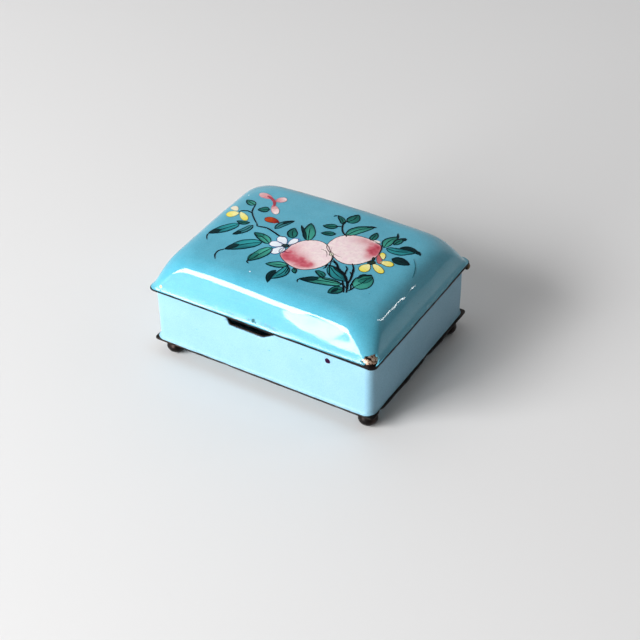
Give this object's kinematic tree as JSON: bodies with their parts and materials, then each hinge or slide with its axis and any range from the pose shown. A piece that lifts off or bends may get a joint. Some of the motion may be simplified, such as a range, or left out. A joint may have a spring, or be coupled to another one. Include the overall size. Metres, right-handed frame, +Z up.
{
  "type": "pill box",
  "caption": "Small rectangular enamelled copper box with a pillow-shaped hinged lid, a thumb notch in the front wall and ball feet.",
  "frame": {"origin": "middle of the bounding box's bottom, on the surface the four feet stand on", "axes": "+X along the length, +Y towards the hinge, +Z up through the lid"},
  "size_m": [0.076, 0.0604, 0.0342],
  "materials": {
    "aged_copper": "hand-worked copper sheet, oxidised dark brown",
    "hinge_copper": "drawn copper tube and strip, blackened",
    "pin_brass": "drawn brass wire, dull",
    "enamel_sky_blue": "glossy fired enamel, sky blue with painted peaches, leaves and flowers on the lid",
    "enamel_lining": "glossy fired enamel, pale blue",
    "overglaze_green": "painted leaves, fired overglaze",
    "overglaze_pink": "painted peaches and pink petals, fired overglaze",
    "overglaze_yellow": "painted yellow petals, fired overglaze",
    "overglaze_white": "painted white petals, fired overglaze",
    "overglaze_line": "painted twigs and outlines, fired overglaze"
  },
  "bodies": {
    "tray": {"bottom_plate": "aged_copper", "wall_band": "aged_copper", "wall_enamel": "enamel_sky_blue", "wall_lining_enamel": "enamel_lining", "floor_enamel": "enamel_lining", "underside_enamel": "enamel_lining", "foot_front_left": "aged_copper", "foot_front_right": "aged_copper", "foot_rear_left": "aged_copper", "foot_rear_right": "aged_copper", "base_hinge_bearer": "hinge_copper", "base_knuckle_left": "hinge_copper", "base_knuckle_middle": "hinge_copper", "base_knuckle_right": "hinge_copper", "hinge_pin": "pin_brass"},
    "lid": {"lid_hinge_bearer": "hinge_copper", "lid_knuckle_left": "hinge_copper", "lid_knuckle_right": "hinge_copper", "lid_shell": "aged_copper", "lid_enamel": "enamel_sky_blue", "lid_lining_enamel": "enamel_lining"}
  },
  "joints": [
    {"name": "lid_hinge", "type": "hinge", "parent": "tray", "child": "lid", "pos_m": [0, 0.02905, 0.0204], "axis": [-1, 0, 0], "range_deg": [0, 105]}
  ]
}
